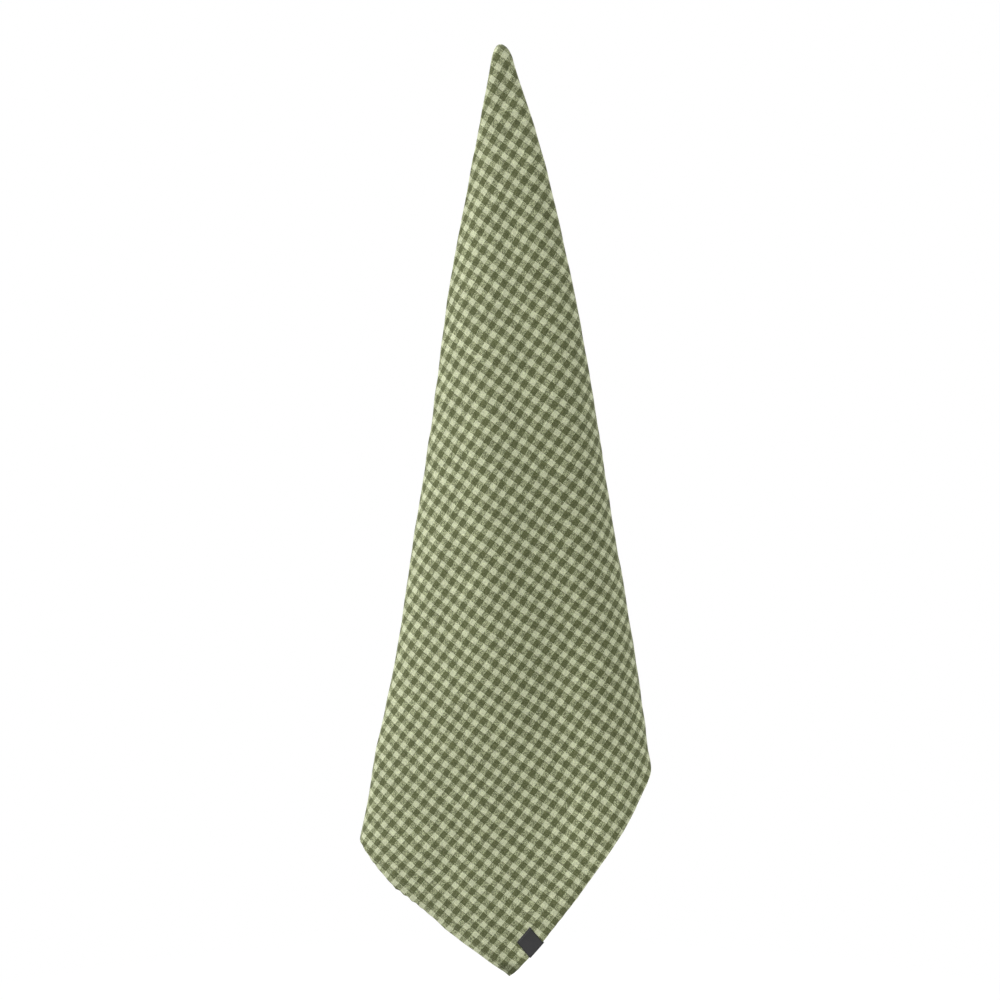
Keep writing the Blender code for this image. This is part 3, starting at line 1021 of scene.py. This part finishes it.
tape, net, shader = new_material("label_weave")
places = net.parts(net.node("ShaderNodeUVMap", {"uv_map": "thread"}).outputs[0])
woven = net.group(
    weave,
    Warp_Count=net.sum("MULTIPLY", places[0], 1.0 / (LABEL_WARP * MM)),
    Weft_Count=net.sum("MULTIPLY", places[1], 1.0 / (LABEL_WEFT * MM)),
    Wander=0.15,
    Ragged=0.2,
    Fill=1.0,
)
# Painted shade: the gaps between the tape's threads are darkened.
painted_gap_shade = net.ramp(woven["Cover"], 0.0, 1.0, 0.75, 1.0)
tone = net.sum("MULTIPLY", painted_gap_shade, net.sum("MULTIPLY_ADD", woven["Slub"], 0.3, 0.85))
rib = net.sum("PINGPONG", net.sum("DIVIDE", places[1], RIB * MM), 0.5)
tone = net.sum("MULTIPLY", tone, net.ramp(rib, 0.08, 0.42, 0.86, 1.08))
from_side = net.sum("PINGPONG", places[0], LABEL_WIDTH / 2.0 * MM)
border_tone = net.ramp(from_side, BORDER[0] * MM, BORDER[1] * MM, 0.72, 1.0)
colour = net.shade(LABEL_YARN, net.sum("MULTIPLY", tone, border_tone))
from_end = net.sum("PINGPONG", places[1], float(label_along.max()) / 2.0 * MM)
row_of = net.group(
    stitching,
    Off_Line=net.sum("SUBTRACT", from_end, SEAM_FROM_END * MM),
    Along=places[0],
    Pitch=0.0021,
)
on_seam = net.sum("GREATER_THAN", from_side, SEAM_FROM_SIDE * MM)
stitch = net.sum("MULTIPLY", row_of["Stitch"], on_seam)
set_surface(
    net,
    shader,
    net.blend_colour(stitch, colour, LABEL_THREAD),
    net.sum("MULTIPLY_ADD", rib, 1.5, net.sum("ADD", woven["Height"], stitch)),
    0.00008,
    Roughness=0.75,
    Specular_IOR_Level=0.3,
)
label.data.materials.clear()
label.data.materials.append(tape)
print("label material:", len(tape.node_tree.nodes), "nodes")

# %% [markdown]
# ## The studio
# The towel hangs clear of a plain white floor, which fades into a white room. To all but the
# camera the floor is grey, so it throws little light back up at the cloth.

# %% Floor
FLOOR_DOWN, FLOOR_RADIUS = 1.22, 2.6
FLOOR_FADES = (1.25, 1.9)
FLOOR_SEEN, FLOOR_UNSEEN = 0.88, 0.22
bm = bmesh.new()
bmesh.ops.create_circle(bm, cap_ends=True, segments=96, radius=FLOOR_RADIUS)
bmesh.ops.translate(bm, verts=bm.verts, vec=(0.0, 0.0, -FLOOR_DOWN))
floor_mesh = bpy.data.meshes.new("floor")
bm.to_mesh(floor_mesh)
bm.free()
floor = bpy.data.objects.new("floor", floor_mesh)
bpy.context.scene.collection.objects.link(floor)
paint, net, shader = new_material("floor_paint")
shader.inputs["Roughness"].default_value = 0.9
shader.inputs["Specular IOR Level"].default_value = 0.1
far_out = net.vector_sum("LENGTH", net.node("ShaderNodeTexCoord").outputs["Object"])
rim = net.ramp(far_out, *FLOOR_FADES)
seen = net.node("ShaderNodeLightPath").outputs["Is Camera Ray"]
pale = net.blend(seen, FLOOR_UNSEEN, FLOOR_SEEN)
net.put(shader.inputs["Base Color"], net.vector(pale, pale, pale))
glow = net.node("ShaderNodeEmission", Strength=1.0)
mixed = net.node("ShaderNodeMixShader")
net.fill(mixed, net.sum("MULTIPLY", rim, seen), shader.outputs[0], glow.outputs[0])
net.put(paint.node_tree.nodes["Material Output"].inputs["Surface"], mixed.outputs[0])
floor_mesh.materials.append(paint)
print("floor:", FLOOR_DOWN, "m below the hanging corner")

# %% [markdown]
# Broad soft light comes from the left and front, weaker light from the right, and some from
# overhead and behind. One small softbox stands near the top on the left, so the light falls
# off a little towards the tip.

# %% Lights and sky
LAMPS = (
    # name, bearing (degrees to the right of the front), elevation, strength, softness
    ("key", -68.8, 35.2, 3.18, 35.0),
    ("fill", 60.2, 35.0, 1.70, 35.0),
    ("overhead", 0.0, 80.0, 1.56, 50.0),
    ("behind", 180.0, 25.0, 1.80, 45.0),
)
SOFTBOX_POWER, SOFTBOX_SIZE = 1.9, 0.6
SOFTBOX_PLACE, SOFTBOX_TURN = (-1.0, -0.65, 0.45), (65.0, 0.0, -57.0)
SKY_SEEN, SKY_UNSEEN = 1.0, 0.06


def hang_light(name, kind, power, turn):
    """A light at the origin, turned by three angles in degrees."""
    light = bpy.data.lights.new(name, kind)
    light.energy = power
    thing = bpy.data.objects.new(name, light)
    thing.rotation_euler = [np.radians(angle) for angle in turn]
    bpy.context.scene.collection.objects.link(thing)
    return thing


for name, bearing, elevation, strength, softness in LAMPS:
    lamp = hang_light(name, "SUN", strength, (90.0 - elevation, 0.0, bearing))
    lamp.data.angle = np.radians(softness)
softbox = hang_light("near_top_left", "AREA", SOFTBOX_POWER, SOFTBOX_TURN)
softbox.data.size = SOFTBOX_SIZE
softbox.location = SOFTBOX_PLACE
softbox.visible_camera = False

sky = bpy.data.worlds.new("sky")
sky.use_nodes = True
net = Net(sky.node_tree)
background = sky.node_tree.nodes["Background"]
seen = net.node("ShaderNodeLightPath").outputs["Is Camera Ray"]
net.put(background.inputs["Strength"], net.blend(seen, SKY_UNSEEN, SKY_SEEN))
background.inputs["Color"].default_value = (1.0, 1.0, 1.0, 1.0)
bpy.context.scene.world = sky
bpy.context.scene.view_settings.view_transform = "Standard"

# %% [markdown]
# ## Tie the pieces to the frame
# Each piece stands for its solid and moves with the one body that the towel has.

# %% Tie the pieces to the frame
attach(cloth, "root")
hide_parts("towel")
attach(label, "root")
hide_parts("label")
